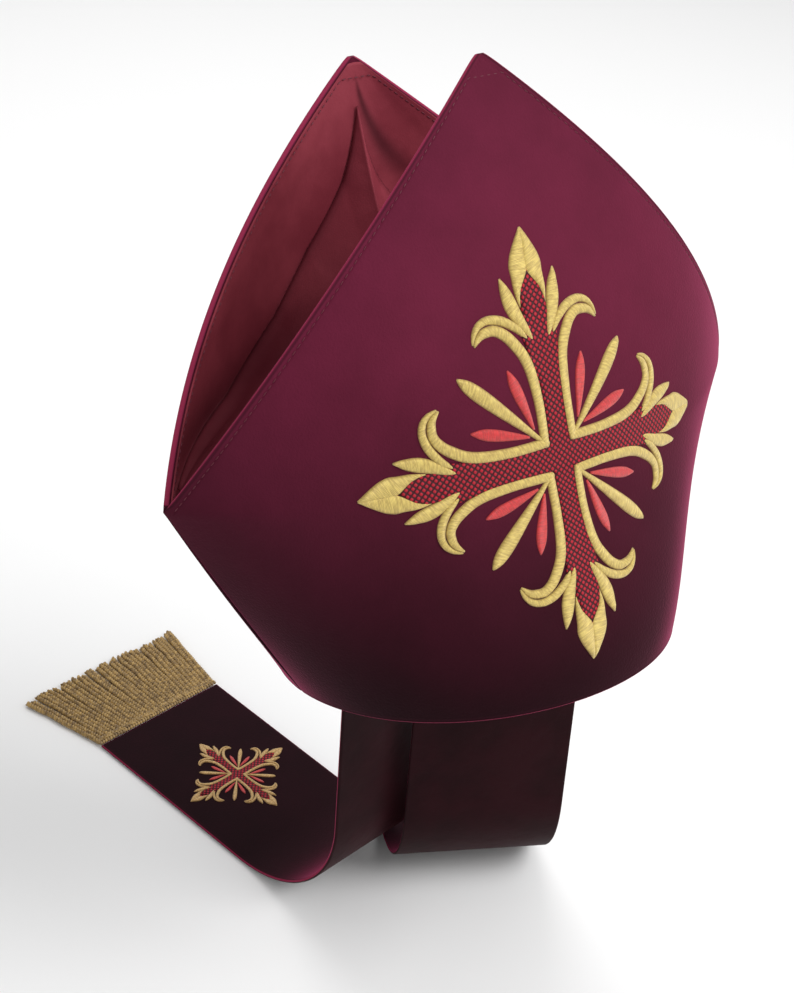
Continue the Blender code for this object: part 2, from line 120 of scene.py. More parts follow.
# %% Sizes of the cloth and the thread
FOLD_ROUND = 0.0013
STITCH_INSET = 0.0042
STITCH_LENGTH = 0.0024
STITCH_PITCH = 0.0034
STITCH_THICK = 0.0005
GROOVE_DEPTH = 0.00035
GROOVE_HALF = 0.0012
STITCH_SINK = 0.0002
SEAM_EVEN = 4 * FOLD_ROUND
SEAM_DIP = 0.15 * LEAF_WALL
SEAM_DIP_REACH = 0.0006
SEAM_CLEAR = 0.00004
SATIN_WALL = 0.0008
LINING_GAP = 0.0002
LINING_INSET = 0.0014
LINING_BELOW_CORNER = 0.012
LINING_BELOW_PEAK = 0.0030
GUSSET_GAP = 0.0012
GUSSET_GATHER = 0.0042
GUSSET_END = 0.985
GOLD_PAD = 0.0013
CORAL_PAD = 0.0009
FILL_PAD = 0.0005
FILL_FACET = 0.004
STITCH_ROOT = 0.0003
LAPPET_GOLD_PAD = 0.0009
LAPPET_CORAL_PAD = 0.0006
LAPPET_FILL_PAD = 0.0003
LAPPET_FILL_FACET = 0.020
LAPPET_FOLD_ROUND = 0.0011
CORDS = 33
CORD_TURN = 0.0042
CORD_THICK = 0.0034
PLY_SHARE = 0.29
CORD_WANDER = 0.05
CORD_LIFT = 0.0006
BRAID_GRAIN = (0.0010, 0.0017, 0.0008)
BRAID_PITCH = 0.0021
BRAID_ROW = 0.0022
BRAID_LIFT = 0.0014
SEED = 7

# %% [markdown]
# ## The leaf as a surface
#
# One leaf is a stack of sections. At each level the middle line says how far the cloth stands out,
# the edge line says how wide it is, and an arc joins them. Below the corners the edge is the side
# seam, above them it is the gothic arch. A share from -1 to 1 runs along the section, so a pair of
# level and share names one spot on the cloth, and the normal comes from its neighbours.


# %% Leaf surface
def mix(a, b, share):
    return a + (b - a) * share


def hump(share):
    return 4 * share * (1 - share)


def smooth_step(share):
    share = np.clip(share, 0, 1)
    return share * share * (3 - 2 * share)


def middle_depth(leaf, level):
    up = level / leaf.peak_height
    swell = leaf.swell * hump(up) * (1 + leaf.swell_skew * (1 - 2 * up))
    low = np.clip(level / (1.6 * CORNER_HEIGHT), 0, 1)
    drawn_in = leaf.low_swell * np.sin(math.pi * low) ** 2
    return mix(RIM_HALF_DEPTH, leaf.peak_depth, up) + swell + drawn_in


def edge_place(leaf, level):
    low = np.clip(level / CORNER_HEIGHT, 0, 1)
    seam = mix(RIM_HALF_WIDTH, CORNER_HALF_WIDTH, low) + SEAM_BOW * hump(low)
    rise = np.clip((level - CORNER_HEIGHT) / (leaf.peak_height - CORNER_HEIGHT), 0, 1)
    arch = CORNER_HALF_WIDTH * (1 - rise) + leaf.bow_out * hump(rise)
    arch = np.sqrt(arch * arch + TIP_ROUND**2 * (1 - rise) * rise**8)
    depth = leaf.peak_depth * rise + leaf.bow_deep * hump(rise)
    above = level > CORNER_HEIGHT
    return np.where(above, arch, seam), np.where(above, depth, 0)


def section_angle(leaf, level):
    def arch_angle(at):
        half, edge = edge_place(leaf, at)
        reach = np.maximum(middle_depth(leaf, at) - edge, 1e-5)
        return 2 * leaf.roundness * np.arctan2(reach, np.maximum(half, 1e-5))

    corner = arch_angle(np.float64(CORNER_HEIGHT + 1e-9))
    seam = mix(math.pi / 2, corner, level / CORNER_HEIGHT)
    return np.clip(np.where(level > CORNER_HEIGHT, arch_angle(level), seam), 0.02, 1.88)


def leaf_point(leaf, level, share):
    level, share = np.broadcast_arrays(np.asarray(level, float), np.asarray(share, float))
    half, edge = edge_place(leaf, level)
    angle = section_angle(leaf, level)
    turn = angle * share
    reach = (np.cos(turn) - np.cos(angle)) / (1 - np.cos(angle))
    y = edge + (middle_depth(leaf, level) - edge) * reach
    down = 1 - np.clip(level / CORNER_HEIGHT, 0, 1)
    z = level + down * (leaf.rim_rise * np.cos(turn) - RIM_SIDE_DROP * np.sin(turn) ** 2)
    return np.stack([half * np.sin(turn) / np.sin(angle), leaf.side * y, z], -1)


def unit(v):
    return v / np.linalg.norm(v, axis=-1, keepdims=True)


def leaf_normal(leaf, level, share):
    step = 0.0008
    level = np.clip(level, step, leaf.peak_height - 6 * step)
    across = leaf_point(leaf, level, share + 0.01) - leaf_point(leaf, level, share - 0.01)
    up = leaf_point(leaf, level + step, share) - leaf_point(leaf, level - step, share)
    normal = unit(np.cross(across, up))
    # Outwards is away from the hat's upright axis, which holds at the seam too, where y is zero
    outwards = (normal * leaf_point(leaf, level, share))[..., :2].sum(-1, keepdims=True)
    return normal * np.where(outwards < 0, -1, 1)


def inside_leaf(leaf, level, share, depth):
    """A spot this deep behind the outer face, on the leaf's own side of the seam."""
    inwards = leaf_normal(leaf, level, share) * np.asarray(depth)[..., None]
    point = leaf_point(leaf, level, share) - inwards
    point[..., 1] = leaf.side * np.maximum(leaf.side * point[..., 1], SEAM_CLEAR)
    return point


def section_length(leaf, level):
    """Arc from the middle line to the edge, for each level."""
    points = leaf_point(leaf, np.asarray(level, float)[..., None], np.linspace(0, 1, 25))
    return np.linalg.norm(np.diff(points, axis=-2), axis=-1).sum(-1)


def worn(points):
    """From the upright hat to the hat leant back on a head."""
    return points @ np.array(Matrix.Rotation(-WORN_LEAN, 3, "X").transposed())


print("front leaf, half its arc at the corner:", round(float(section_length(FRONT, CORNER_HEIGHT)), 4))

# %% [markdown]
# ## From grids to closed meshes
#
# Most pieces are two faces of one sheet on the same grid, joined round the border, so they are
# closed and have real thickness. The helper also carries a texture map and any named measures, such
# as the distance from the edge, which the materials read.


# %% Mesh helpers
def linked(name, data):
    made = bpy.data.objects.new(name, data)
    bpy.context.scene.collection.objects.link(made)
    return made


def new_object(name, points, faces, finish, uv=None, measures=None, slots=None):
    mesh = bpy.data.meshes.new(name)
    if isinstance(faces, np.ndarray):
        faces = faces.tolist()
    mesh.from_pydata(np.asarray(points).tolist(), [], faces)
    if uv is not None:
        layer = mesh.uv_layers.new(name="map")
        loops = np.zeros(len(mesh.loops), np.int32)
        mesh.loops.foreach_get("vertex_index", loops)
        layer.data.foreach_set("uv", np.asarray(uv, np.float32)[loops].ravel())
    for key, values in (measures or {}).items():
        layer = mesh.attributes.new(key, "FLOAT", "POINT")
        layer.data.foreach_set("value", np.asarray(values, np.float32))
    for one in finish if isinstance(finish, list) else [finish]:
        mesh.materials.append(one)
    if slots is not None:
        mesh.polygons.foreach_set("material_index", np.asarray(slots, np.int32))
    mesh.shade_smooth()
    mesh.update()
    return linked(name, mesh)


def shell_faces(rows, columns):
    """Faces of two grids, one after the other, joined round the rim, and how many are the first's."""
    at = np.arange(rows * columns).reshape(rows, columns)
    a, b, c, d = at[:-1, :-1], at[:-1, 1:], at[1:, 1:], at[1:, :-1]
    top = np.stack([a, b, c, d], -1).reshape(-1, 4)
    under = top[:, ::-1] + rows * columns
    loop = np.concatenate([at[0, :-1], at[:-1, -1], at[-1, :0:-1], at[:0:-1, 0]])
    after = np.roll(loop, -1)
    rim = np.stack([after, loop, loop + rows * columns, after + rows * columns], -1)
    return np.concatenate([top, under, rim]), len(top)


def volume_sign(points, faces):
    a, b, c, d = (points[faces[:, k]] for k in range(4))
    return np.sign((np.cross(b - a, c - a) * a).sum() + (np.cross(c - a, d - a) * a).sum())


def shell(name, top, under, finish, measures):
    """A closed sheet. Of two finishes, the second is the under side's."""
    rows, columns = top.shape[:2]
    points = np.concatenate([top.reshape(-1, 3), under.reshape(-1, 3)])
    faces, upper = shell_faces(rows, columns)
    if volume_sign(points, faces) < 0:
        faces = faces[:, ::-1]
    slots = np.zeros(len(faces))
    if isinstance(finish, list):
        slots[upper : 2 * upper] = 1
    doubled = {key: np.concatenate([np.ravel(v)] * 2) for key, v in measures.items()}
    made = new_object(name, points, faces, finish, measures=doubled, slots=slots)
    print(f"{name}: {2 * (rows - 1) * (columns - 1)} faces on its two sides")
    return made


# %% [markdown]
# ## Materials
#
# Velvet is a pile of upright threads. Seen straight on it swallows light, and seen along the surface it
# lights up, so it is a dark colour under a strong rose sheen, with a painted rose sheen added to its
# colour where the surface is seen at a slant. It is blotched where the nap lies over, and darker towards
# the rim: that painted shade goes by height, so it shows from every side. Folded edges part the pile and
# show as a thin bright line, partly worn pile and partly painted highlight, with a painted shadow line
# beside it. Satin is smoother and has a long soft highlight, and its colour carries painted light and
# shade that follow its wrinkles. Satin stitch is parallel glossy thread, so its bump and its painted
# shade run in fine lines across each band, from the band's own texture map.


# %% Node helpers
def new_finish(name, roughness, **inputs):
    made = bpy.data.materials.new(name)
    made.use_nodes = True
    tree = made.node_tree
    shader = tree.nodes["Principled BSDF"]
    shader.inputs["Roughness"].default_value = roughness
    for key, value in inputs.items():
        shader.inputs[key.replace("_", " ")].default_value = value
    return made, tree, shader


def node(tree, kind, sockets=(), **settings):
    """A node with its settings. Each input is paired with a node, an output or a value."""
    made = tree.nodes.new(kind)
    for key, value in settings.items():
        setattr(made, key, value)
    for socket, source in sockets:
        if isinstance(source, bpy.types.Node):
            source = source.outputs[0]
        if isinstance(source, bpy.types.NodeSocket):
            tree.links.new(source, made.inputs[socket])
        else:
            made.inputs[socket].default_value = source
    return made


def math_node(tree, operation, *values):
    return node(tree, "ShaderNodeMath", enumerate(values), operation=operation).outputs[0]


def plus(tree, a, b):
    return math_node(tree, "ADD", a, b)


def times(tree, a, b):
    return math_node(tree, "MULTIPLY", a, b)


def ridges(tree, angle):
    return math_node(tree, "ABSOLUTE", math_node(tree, "SINE", angle))


def blend(tree, share, a, b):
    return node(tree, "ShaderNodeMix", [(0, share), (6, a), (7, b)], data_type="RGBA").outputs[2]


def noise(tree, vector, scale, detail=3.0, rough=0.55):
    sockets = [("Vector", vector), ("Scale", scale), ("Detail", detail), ("Roughness", rough)]
    return node(tree, "ShaderNodeTexNoise", sockets).outputs["Fac"]


def remap(tree, value, low, high, to_low=0.0, to_high=1.0):
    keys = ("Value", "From Min", "From Max", "To Min", "To Max")
    sockets = zip(keys, (value, low, high, to_low, to_high))
    made = node(tree, "ShaderNodeMapRange", sockets, interpolation_type="SMOOTHSTEP")
    return made.outputs["Result"]


def measure(tree, name):
    return node(tree, "ShaderNodeAttribute", attribute_name=name).outputs["Fac"]


def bump(tree, height, distance, strength=1.0):
    sockets = [("Strength", strength), ("Distance", distance), ("Height", height)]
    return node(tree, "ShaderNodeBump", sockets).outputs["Normal"]


def dress(finish, tone, height, distance, strength):
    """Gives a new finish its colour and its relief."""
    made, tree, shader = finish
    tree.links.new(tone, shader.inputs["Base Color"])
    tree.links.new(bump(tree, height, distance, strength), shader.inputs["Normal"])
    return made


def colour(r, g, b):
    return (r, g, b, 1.0)


# %% Velvet
def velvet_finish():
    finish = _, tree, shader = new_finish(
        "velvet", 0.75, Sheen_Weight=0.75, Sheen_Roughness=0.32, Specular_IOR_Level=0.08
    )
    place = node(tree, "ShaderNodeTexCoord").outputs["Object"]
    nap = noise(tree, place, 16.0, 4.0, 0.6)
    pile = noise(tree, place, 900.0, 2.0)
    shader.inputs["Sheen Tint"].default_value = colour(0.62, 0.09, 0.22)
    # Painted shade: the colour darkens from the top down towards the rim, and on the lappets, which lie
    # lowest
    height = node(tree, "ShaderNodeSeparateXYZ", [(0, place)]).outputs[2]
    blotch = remap(tree, nap, 0.25, 0.75)
    low = blend(tree, blotch, colour(0.006, 0.0006, 0.0016), colour(0.011, 0.001, 0.003))
    high = blend(tree, blotch, colour(0.090, 0.008, 0.024), colour(0.120, 0.011, 0.033))
    cloth = blend(tree, remap(tree, height, 0.0, 0.20), low, high)
    # Painted sheen: the colour turns rose where the surface is seen at a slant
    facing = node(tree, "ShaderNodeLayerWeight", [("Blend", 0.35)]).outputs["Facing"]
    painted_sheen = remap(tree, facing, 0.45, 1.0, 0.0, 0.55)
    cloth = blend(tree, painted_sheen, cloth, colour(0.26, 0.022, 0.075))
    # The fold's bright line, partly worn pile and partly painted highlight, and the painted shadow line
    # just inside it
    edge = measure(tree, "from_edge")
    bright = remap(tree, edge, 0.0009, 0.0003, 0.0, 0.6)
    cloth = blend(tree, bright, cloth, colour(0.36, 0.03, 0.085))
    dark = times(tree, remap(tree, edge, 0.0008, 0.0014), remap(tree, edge, 0.0026, 0.0018))
    cloth = blend(tree, times(tree, dark, 0.5), cloth, colour(0.02, 0.002, 0.006))
    return dress(finish, cloth, pile, 0.0004, 0.5)


# %% Satin
def satin_finish(name, dark, lit, sheen):
    finish = _, tree, shader = new_finish(
        name, 0.58, Specular_IOR_Level=0.07, Sheen_Weight=sheen, Sheen_Roughness=0.4
    )
    place = node(tree, "ShaderNodeTexCoord").outputs["Object"]
    wrinkle = noise(tree, place, 26.0, 4.0, 0.55)
    grain = noise(tree, place, 1400.0, 1.0)
    shader.inputs["Sheen Tint"].default_value = colour(0.6, 0.12, 0.16)
    # Painted light and shade: the colour is lighter where the wrinkles rise, by the same noise as their
    # bump
    cloth = blend(tree, remap(tree, wrinkle, 0.3, 0.7), dark, lit)
    # Painted shade, darkest where the mesh's own measure is highest
    shade = times(tree, measure(tree, "painted_shade"), 0.8)
    cloth = blend(tree, shade, cloth, colour(0.012, 0.001, 0.003))
    height = plus(tree, times(tree, wrinkle, 0.9), times(tree, grain, 0.06))
    return dress(finish, cloth, height, 0.0022, 0.6)


# %% Satin stitch
def thread_finish(name, dark, lit, pitch, slant, metallic=0.0):
    """Threads run across the band: the map holds metres along it, and -1 to 1 across it."""
    finish = _, tree, _ = new_finish(
        name, 0.42, Specular_IOR_Level=0.55, Metallic=metallic, Sheen_Weight=0.25
    )
    spot = node(tree, "ShaderNodeUVMap", uv_map="map").outputs["UV"]
    parts = node(tree, "ShaderNodeSeparateXYZ", [(0, spot)])
    along, across = parts.outputs[0], parts.outputs[1]
    lean = plus(tree, along, times(tree, across, slant))
    ridge = ridges(tree, times(tree, lean, math.pi / pitch))
    streak_at = node(tree, "ShaderNodeCombineXYZ", [(0, lean), (1, times(tree, across, 0.0006))])
    streak = noise(tree, streak_at.outputs[0], 1300.0, 2.0)
    # Painted highlight in streaks along the threads, and painted shade in the dips between them
    light = remap(tree, streak, 0.3, 0.7, 0.35, 1.0)
    shade = times(tree, light, remap(tree, ridge, 0.0, 0.5, 0.55, 1.0))
    # The band rounds down into the cloth at both sides, where the thread ends are in shade
    side = math_node(tree, "ABSOLUTE", across)
    shade = times(tree, shade, remap(tree, side, 1.0, 0.72, 0.35, 1.0))
    height = plus(tree, ridge, times(tree, streak, 0.8))
    return dress(finish, blend(tree, shade, dark, lit), height, 0.00018, 0.8)


# %% Basket fill
def basket_finish():
    """The arms' ground is a net of couched thread: small pillows on the slant, painted lit on top and in
    painted shade between them.
    """
    finish = _, tree, _ = new_finish("basket_fill", 0.55, Specular_IOR_Level=0.25)
    parts = node(tree, "ShaderNodeSeparateXYZ", [(0, node(tree, "ShaderNodeUVMap", uv_map="map"))])
    cell = 0.0021
    right, up = parts.outputs[0], parts.outputs[1]
    waves = []
    for operation in ("ADD", "SUBTRACT"):
        slanted = math_node(tree, operation, right, up)
        angle = times(tree, slanted, math.pi / (cell * math.sqrt(2)))
        waves.append(ridges(tree, angle))
    pillow = times(tree, waves[0], waves[1])
    # Painted light and shade: lit on each pillow's top, dark between the pillows
    lit = remap(tree, pillow, 0.25, 0.75)
    tone = blend(tree, lit, colour(0.045, 0.003, 0.008), colour(0.40, 0.010, 0.024))
    return dress(finish, tone, pillow, 0.0005, 0.9)


# %% Plain finishes
def plain_finish(name, tone, roughness):
    made, _, shader = new_finish(name, roughness, Specular_IOR_Level=0.4)
    shader.inputs["Base Color"].default_value = tone
    return made


def cord_finish():
    finish = _, tree, _ = new_finish("fringe_cord", 0.45, Specular_IOR_Level=0.5, Sheen_Weight=0.2)
    place = node(tree, "ShaderNodeTexCoord").outputs["Object"]
    mottle = noise(tree, place, 420.0, 2.0)
    lit = remap(tree, mottle, 0.3, 0.7)
    tone = blend(tree, lit, colour(0.16, 0.088, 0.02), colour(0.44, 0.275, 0.078))
    return dress(finish, tone, mottle, 0.0003, 0.6)


VELVET = velvet_finish()
SATIN = satin_finish("satin", colour(0.175, 0.023, 0.036), colour(0.255, 0.040, 0.058), 0.1)
# The lappets' lining is the same satin in a near-black tone: painted shade
SHADED_LAPPET_LINING = satin_finish(
    "lappet_lining_painted_shade", colour(0.010, 0.001, 0.002), colour(0.018, 0.002, 0.004), 0.03
)
GOLD = thread_finish(
    "gold_stitch", colour(0.33, 0.20, 0.045), colour(0.74, 0.57, 0.15), 0.00055, 0.0009, 0.15
)
LAPPET_GOLD = thread_finish(
    "lappet_gold_stitch", colour(0.30, 0.16, 0.04), colour(0.72, 0.46, 0.17), 0.0005, 0.0006, 0.15
)
CORAL = thread_finish(
    "coral_stitch", colour(0.30, 0.010, 0.011), colour(0.68, 0.026, 0.028), 0.00055, 0.0006
)
BASKET = basket_finish()
SEAM_THREAD = plain_finish("seam_thread", colour(0.10, 0.008, 0.022), 0.5)
CORD = cord_finish()
print("materials:", len(bpy.data.materials))

# %% [markdown]
# ## The two leaves
#
# Each leaf is cut from stiffened velvet, its edge folded over the stiffener. The grid has columns at
# fixed distances from the edge, so that the fold rounds over in the last millimetre and the groove
# of the topstitching keeps its inset all the way up the arch. Where the arch gets narrow, near the
# peak, those columns close up together.

# %% Leaf mesh
EDGE_COLUMNS = np.array([0, 0.2, 0.45, 0.8, 1.3, 2.0, 2.8, 3.5, 3.9, 4.2, 4.5, 4.9, 5.6, 7.0, 9.5]) / 1000
INNER_COLUMNS = 84


def leaf_columns(leaf, levels):
    """Shares and distances from the edge for each level, one row per level."""
    shares, distances = [], []
    for length in section_length(leaf, levels):
        edge = EDGE_COLUMNS * min(1.0, length / (1.6 * EDGE_COLUMNS[-1]))
        inner = np.linspace(edge[-1], 2 * length - edge[-1], INNER_COLUMNS + 1)[1:-1]
        run = np.concatenate([edge, inner, 2 * length - edge[::-1]])
        shares.append(run / length - 1)
        distances.append(np.minimum(run, 2 * length - run))
    return np.array(shares), np.array(distances)


def leaf_levels(leaf):
    rim = np.array([0, 0.2, 0.45, 0.8, 1.3, 2.0, 3.0]) / 1000
    low = np.linspace(0.005, CORNER_HEIGHT, 32)
    rise = 1 - (1 - np.linspace(0, 1, 84)[1:]) ** 1.4
    high = CORNER_HEIGHT + (leaf.peak_height - CORNER_HEIGHT) * rise
    high = np.minimum(high, leaf.peak_height - 0.0006)
    return np.concatenate([rim, low, high])


def fold_thickness(distance, wall, fold_round):
    """The wall's thickness this far from a folded edge: round at the edge, full further in."""
    near = np.clip(distance / fold_round, 0, 1)
    return wall * np.sqrt(np.maximum(1 - (1 - near) ** 2, 0.0025))


def add_leaf(name, leaf):
    levels = leaf_levels(leaf)
    shares, from_side = leaf_columns(leaf, levels)
    level = np.repeat(levels[:, None], shares.shape[1], 1)
    arch = smooth_step((level - CORNER_HEIGHT + 0.004) / 0.008)
    # Below the corner the side is sewn to the other leaf, so it keeps its thickness and only dips
    nearest = np.minimum(from_side + (1 - arch) * SEAM_EVEN, level)
    thick = fold_thickness(nearest, LEAF_WALL, FOLD_ROUND)
    dip = SEAM_DIP * (1 - arch) * np.exp(-from_side / SEAM_DIP_REACH)
    groove = GROOVE_DEPTH * np.exp(-(((from_side - STITCH_INSET) / GROOVE_HALF * 2) ** 2)) * arch
    # A folded edge lies nearer the outer face, because the stiffener stops short of it
    middle = LEAF_WALL * mix(0.3, 0.5, np.clip(nearest / FOLD_ROUND, 0, 1))
    top = worn(inside_leaf(leaf, level, shares, middle - thick / 2 + groove + dip))
    under = worn(inside_leaf(leaf, level, shares, middle + thick / 2 - 0.4 * groove))
    made = shell(name, top, under, VELVET, {"from_edge": nearest})
    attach(made, "root")
    return made


front_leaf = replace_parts(add_leaf("front_velvet", FRONT), "front_leaf")
back_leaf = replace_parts(add_leaf("back_velvet", BACK), "back_leaf")

# %% [markdown]
# ## Topstitching
#
# A row of stitches runs along each arch, a few millimetres in from the fold. Geometry Nodes sets a
# small capsule at every pitch along a line that lies in the groove. The tree is made once, and its
# pitch, length and thickness are inputs.


# %% Stitch tree
def group(name, **inputs):
    tree = bpy.data.node_groups.new(name, "GeometryNodeTree")
    for key, kind in [("Geometry", "Geometry"), *inputs.items()]:
        tree.interface.new_socket(key, in_out="INPUT", socket_type="NodeSocket" + kind)
    tree.interface.new_socket("Geometry", in_out="OUTPUT", socket_type="NodeSocketGeometry")
    return tree, tree.nodes.new("NodeGroupInput").outputs, tree.nodes.new("NodeGroupOutput").inputs


def grown(name, base, tree, values):
    """The plain mesh that the tree makes from the base object, which goes."""
    modifier = base.modifiers.new("grow", "NODES")
    modifier.node_group = tree
    for item in tree.interface.items_tree:
        if item.in_out == "INPUT" and item.name in values:
            modifier[item.identifier] = values[item.name]
    base.update_tag()
    graph = bpy.context.evaluated_depsgraph_get()
    mesh = bpy.data.meshes.new_from_object(base.evaluated_get(graph))
    bpy.data.objects.remove(base, do_unlink=True)
    mesh.name = name
    mesh.shade_smooth()
    return linked(name, mesh)


def stitch_tree():
    tree, given, out = group(
        "stitch_row", Pitch="Float", Length="Float", Thickness="Float", Thread="Material"
    )
    line = node(tree, "GeometryNodeMeshToCurve", [(0, given["Geometry"])])
    spots = node(
        tree, "GeometryNodeResampleCurve", [("Curve", line), ("Length", given["Pitch"])], mode="LENGTH"
    )
    ball = node(tree, "GeometryNodeMeshUVSphere", [("Segments", 8), ("Rings", 6), ("Radius", 0.5)])
    thick = given["Thickness"]
    size = node(tree, "ShaderNodeCombineXYZ", [(0, given["Length"]), (1, thick), (2, thick)])
    grain = node(tree, "GeometryNodeTransform", [("Geometry", ball), ("Scale", size)])
    heading = node(tree, "GeometryNodeInputTangent")
    turn = node(tree, "FunctionNodeAlignRotationToVector", [("Vector", heading)], axis="X")
    row = node(
        tree, "GeometryNodeInstanceOnPoints",
        [("Points", spots), ("Instance", grain), ("Rotation", turn)],
    )
    real = node(tree, "GeometryNodeRealizeInstances", [(0, row)])
    done = node(
        tree, "GeometryNodeSetMaterial", [("Geometry", real), ("Material", given["Thread"])]
    )
    tree.links.new(done.outputs[0], out["Geometry"])
    return tree


STITCH_TREE = stitch_tree()


def line_object(name, points):
    mesh = bpy.data.meshes.new(name)
    mesh.from_pydata(points.tolist(), [(k, k + 1) for k in range(len(points) - 1)], [])
    return linked(name, mesh)


def stitch_row(name, points):
    values = {
        "Pitch": STITCH_PITCH, "Length": STITCH_LENGTH, "Thickness": STITCH_THICK, "Thread": SEAM_THREAD
    }
    made = grown(name, line_object(name + "_line", points), STITCH_TREE, values)
    made.data.materials.clear()
    made.data.materials.append(SEAM_THREAD)
    print(f"{name}: {len(made.data.polygons) // 48} stitches")
    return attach(made, "root")


# %% Stitches along the arches
def arch_line(leaf, depth):
    """From corner to corner over the peak, along the topstitching."""
    levels = np.linspace(CORNER_HEIGHT + 0.002, leaf.peak_height - 2.2 * STITCH_INSET, 240)
    share = 1 - STITCH_INSET / section_length(leaf, levels)
    left = worn(inside_leaf(leaf, levels, -share, depth))
    right = worn(inside_leaf(leaf, levels, share, depth))
    return np.concatenate([left, right[::-1]])


stitch_row("front_topstitching", arch_line(FRONT, STITCH_SINK))
stitch_row("back_topstitching", arch_line(BACK, STITCH_SINK))
stitch_row("back_topstitching_inside", arch_line(BACK, LEAF_WALL + SATIN_WALL + 2 * STITCH_SINK))

# %% [markdown]
# ## The lining
#
# Satin faces the inner side of each leaf, felled just inside the folded edge. It is not glued down,
# so it lies in shallow waves that run up and down and flatten out at the edges.


# %% Lining mesh
def add_lining(name, leaf):
    rows, columns = 110, 120
    foot, top = CORNER_HEIGHT - LINING_BELOW_CORNER, leaf.peak_height - LINING_BELOW_PEAK
    levels = mix(foot, top, np.linspace(0, 1, rows) ** 0.95)
    length = section_length(leaf, levels)
    reach = np.maximum(1 - LINING_INSET / length, 0.2)
    share = reach[:, None] * np.linspace(-1, 1, columns)[None]
    level = np.repeat(levels[:, None], columns, 1)
    spread = 1 - np.linspace(-1, 1, columns)[None] ** 4
    wave = np.sin(share * 17 + level * 30) * 0.5 + np.sin(share * 9 - level * 55 + 1.3) * 0.5
    lift = 0.0005 * spread * (1 + wave) * smooth_step((leaf.peak_height - level) / 0.05)
    near = LEAF_WALL + LINING_GAP + lift
    top = worn(inside_leaf(leaf, level, share, near))
    under = worn(inside_leaf(leaf, level, share, near + SATIN_WALL))
    # Shade gathers low between the leaves, and in the fold that falls from the peak
    above = level - CORNER_HEIGHT
    shade = 0.75 * smooth_step((0.045 - above) / 0.04) * smooth_step(above / 0.02)
    below = leaf.peak_height - 0.012 - level
    fold = np.exp(-(((share - 0.05 - 6.5 * below) / (0.05 + 1.6 * np.maximum(below, 0))) ** 2))
    fold = fold * smooth_step((below + 0.006) / 0.012) * smooth_step((0.062 - below) / 0.03)
    made = shell(name, under, top, SATIN, {"painted_shade": np.maximum(shade, 0.85 * fold)})
    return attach(made, "root")


front_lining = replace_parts(add_lining("front_satin", FRONT), "front_lining")
back_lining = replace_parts(add_lining("back_satin", BACK), "back_lining")

# %% [markdown]
# ## The gusset
#
# A soft piece of satin joins the two leaves over the head. It is sewn to each lining along a line
# that rises from the corners to a point under the peak, and it hangs between them in a valley. By
# the corners its spare cloth gathers into folds, fanned out from the corner.


# %% Gusset mesh
# From the middle to a corner: how far along, how high between corner and peak, and the share reached
CREASE = np.array([
    (0.00, 0.86, 0.00), (0.20, 0.64, 0.13), (0.40, 0.46, 0.31), (0.60, 0.29, 0.42),
    (0.80, 0.12, 0.60), (1.00, 0.015, 0.955),
])


def crease_point(leaf, along, depth):
    reach = np.abs(along)
    rise = np.interp(reach, CREASE[:, 0], CREASE[:, 1])
    share = np.interp(reach, CREASE[:, 0], CREASE[:, 2]) * np.sign(along)
    level = mix(CORNER_HEIGHT, leaf.peak_height, rise)
    return inside_leaf(leaf, level, share, depth)


def fold_wave(along, across):
    return np.sin(3 * math.pi * across + 0.6 * along)


def gusset_middle(along, across):
    depth = LEAF_WALL + LINING_GAP + SATIN_WALL + GUSSET_GAP
    behind, before = crease_point(BACK, along, depth), crease_point(FRONT, along, depth)
    share = ((across + 1) / 2)[..., None]
    point = behind * (1 - share) + before * share
    valley = mix(GUSSET_VALLEY, GUSSET_END_VALLEY, along * along)
    slack = np.maximum(mix(behind[..., 2], before[..., 2], 0.5) - valley, 0)
    point[..., 2] -= slack * (1 - across * across)
    gather = smooth_step((np.abs(along) - 0.25) / 0.4) * smooth_step((1.03 - np.abs(along)) / 0.2)
    fan = fold_wave(along, across) + 0.4 * np.sin(7 * math.pi * across + 9 * along)
    point[..., 2] += GUSSET_GATHER * gather * fan * (1 - across**4)
    return point


def add_gusset():
    ends = np.linspace(-GUSSET_END, GUSSET_END, 170)
    along, across = np.meshgrid(ends, np.linspace(-1, 1, 90), indexing="ij")
    step = 0.01
    run = gusset_middle(along + step, across) - gusset_middle(along - step, across)
    over = gusset_middle(along, across + step) - gusset_middle(along, across - step)
    normal = unit(np.cross(over, run))
    middle = gusset_middle(along, across)
    top, under = middle + normal * SATIN_WALL / 2, middle - normal * SATIN_WALL / 2
    # The corner's folds catch light on their crests, and the seam to the back leaf lies in shade
    reach = np.abs(along)
    corner = smooth_step((reach - 0.45) / 0.25)
    crest = np.maximum(fold_wave(along, across), 0)
    painted_shade = 0.15 * smooth_step((reach - 0.2) / 0.3) * (1 - corner) + 0.5 * corner * (1 - crest)
    painted_shade = np.clip(painted_shade + 0.5 * np.exp(-(((across + 1) / 0.03) ** 2)), 0, 1)
    made = shell("gusset_satin", worn(top), worn(under), SATIN, {"painted_shade": painted_shade})
    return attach(made, "root")


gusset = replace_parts(add_gusset(), "gusset")

# %% [markdown]
# ## Embroidery
#
# The cross is worked in satin stitch over padding. Each form is a band: a middle line with a width at
# every point, swept with a domed profile. One half of one arm is charted in hundredths of the arm's
# length, along the arm and across it, and the whole cross is that half mirrored and turned four times.
# The two strands of a scroll, the leaf beside it and the flame at the tip are separate bands, so the dark
# line between them is a real gap.

